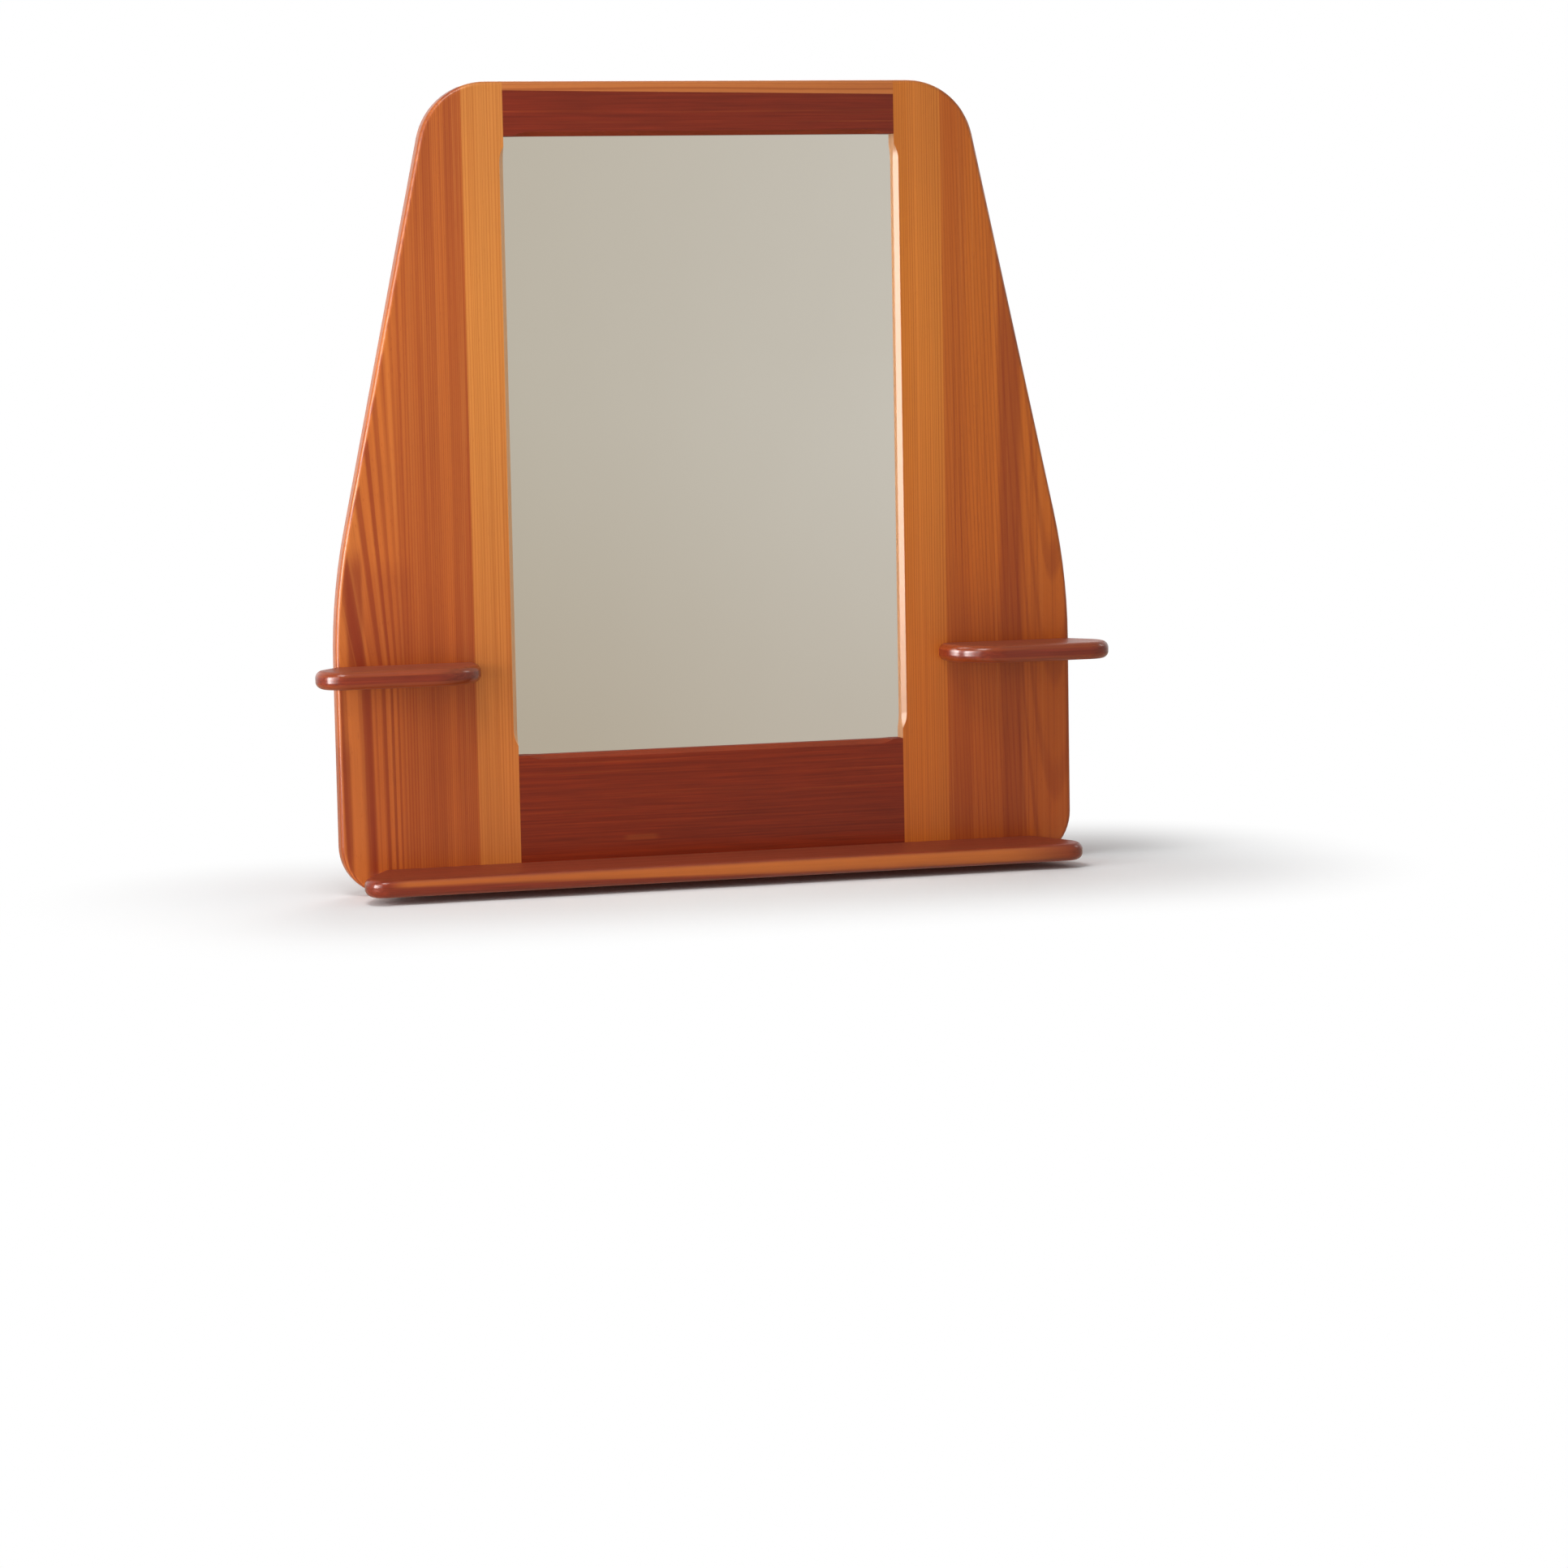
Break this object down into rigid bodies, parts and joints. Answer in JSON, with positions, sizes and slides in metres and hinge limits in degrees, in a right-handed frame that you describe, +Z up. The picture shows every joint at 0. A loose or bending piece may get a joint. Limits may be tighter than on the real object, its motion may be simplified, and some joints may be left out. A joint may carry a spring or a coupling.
{
  "type": "wall mirror with shelf",
  "caption": "Flat pine wall mirror that widens downwards, with a shelf along its foot, a small rounded shelf on each side board and keyhole plates at the back.",
  "frame": {"origin": "on the wall plane, midway between the entries of the two keyhole plates", "axes": "+X to the right as seen from the front, +Y into the wall, +Z up"},
  "size_m": [0.9204, 0.114, 0.9],
  "materials": {
    "pine_inner": "clear amber lacquer, semi-gloss",
    "pine_outer": "clear amber lacquer, semi-gloss",
    "pine_batten": "clear amber lacquer, semi-gloss",
    "stained_rail": "red-brown stain under lacquer, semi-gloss",
    "stained_side_shelf": "red-brown stain under lacquer, gloss",
    "stained_bottom_shelf": "red-brown stain under lacquer, gloss",
    "mirror_glass": "silvered float glass",
    "hardboard": "raw hardboard, matt",
    "beech_dowel": "raw beech, matt",
    "zinc_steel": "bright zinc plate",
    "brass_button": "pressed brass, dulled",
    "brass_screw": "turned brass, dulled"
  },
  "bodies": {
    "panel": {"left_inner_stave": "pine_inner", "left_outer_stave": "pine_outer", "left_side_shelf": "stained_side_shelf", "right_inner_stave": "pine_inner", "right_outer_stave": "pine_outer", "right_side_shelf": "stained_side_shelf", "top_batten": "pine_batten", "top_rail": "stained_rail", "bottom_rail": "stained_rail", "bottom_shelf": "stained_bottom_shelf", "mirror_pane": "mirror_glass", "back_panel": "hardboard", "top_rail_dowels": "beech_dowel", "bottom_rail_dowels": "beech_dowel", "bottom_shelf_dowels": "beech_dowel", "bottom_shelf_screws": "zinc_steel", "left_side_shelf_screws": "zinc_steel", "right_side_shelf_screws": "zinc_steel", "hanger_screws": "zinc_steel", "turn_button_screws": "brass_screw", "left_hanger_plate": "zinc_steel", "right_hanger_plate": "zinc_steel"},
    "lower_left_button": {"lower_left_turn_button": "brass_button"},
    "upper_left_button": {"upper_left_turn_button": "brass_button"},
    "lower_right_button": {"lower_right_turn_button": "brass_button"},
    "upper_right_button": {"upper_right_turn_button": "brass_button"},
    "top_button": {"top_turn_button": "brass_button"},
    "bottom_button": {"bottom_turn_button": "brass_button"}
  },
  "joints": [
    {"name": "lower_left_button_turn", "type": "hinge", "parent": "panel", "child": "lower_left_button", "pos_m": [-0.24425, 0, -0.47763], "axis": [0, 1, 0], "continuous": true},
    {"name": "upper_left_button_turn", "type": "hinge", "parent": "panel", "child": "upper_left_button", "pos_m": [-0.24425, 0, -0.13287], "axis": [0, 1, 0], "continuous": true},
    {"name": "lower_right_button_turn", "type": "hinge", "parent": "panel", "child": "lower_right_button", "pos_m": [0.24425, 0, -0.47763], "axis": [0, 1, 0], "continuous": true},
    {"name": "upper_right_button_turn", "type": "hinge", "parent": "panel", "child": "upper_right_button", "pos_m": [0.24425, 0, -0.13287], "axis": [0, 1, 0], "continuous": true},
    {"name": "top_button_turn", "type": "hinge", "parent": "panel", "child": "top_button", "pos_m": [0, 0, 0.0575], "axis": [0, 1, 0], "continuous": true},
    {"name": "bottom_button_turn", "type": "hinge", "parent": "panel", "child": "bottom_button", "pos_m": [0, 0, -0.668], "axis": [0, 1, 0], "continuous": true}
  ]
}
